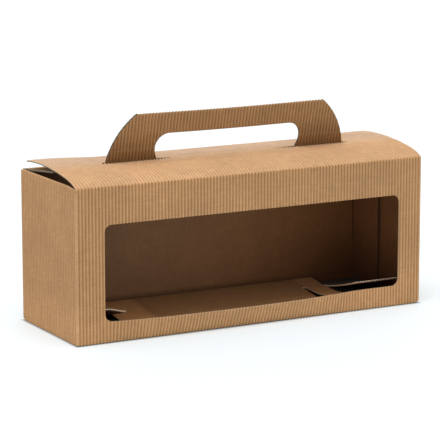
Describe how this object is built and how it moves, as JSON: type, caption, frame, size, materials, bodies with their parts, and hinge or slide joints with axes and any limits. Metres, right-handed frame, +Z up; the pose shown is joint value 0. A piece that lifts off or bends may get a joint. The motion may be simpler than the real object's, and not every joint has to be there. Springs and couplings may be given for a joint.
{
  "type": "jar gift box",
  "caption": "Fluted kraft carton with a front window, an arched lid and a folded carrying handle that comes up through the lid.",
  "frame": {"origin": "under the middle of the carton, on the surface it stands on", "axes": "+Z up, +X along the window to its right end, -Y out of the window front"},
  "size_m": [0.264, 0.0864, 0.1438],
  "materials": {
    "kraft_board": "matte open flutes",
    "kraft_lid": "matte open flutes",
    "kraft_handle": "matte open flutes"
  },
  "bodies": {
    "carton": {"carton": "kraft_board"},
    "lid": {"lid": "kraft_lid"},
    "handle": {"handle": "kraft_handle"}
  },
  "joints": [
    {"name": "lid_hinge", "type": "hinge", "parent": "carton", "child": "lid", "pos_m": [0, -0.0421, 0.1029], "axis": [1, 0, 0], "range_deg": [0, 110]},
    {"name": "handle_fold", "type": "hinge", "parent": "carton", "child": "handle", "pos_m": [0, -0.0032, 0.10865], "axis": [1, 0, 0], "range_deg": [0, 47.9]}
  ],
  "couplings": [
    {"joint": "handle_fold", "follows": "lid_hinge", "ratio": 0.435}
  ]
}
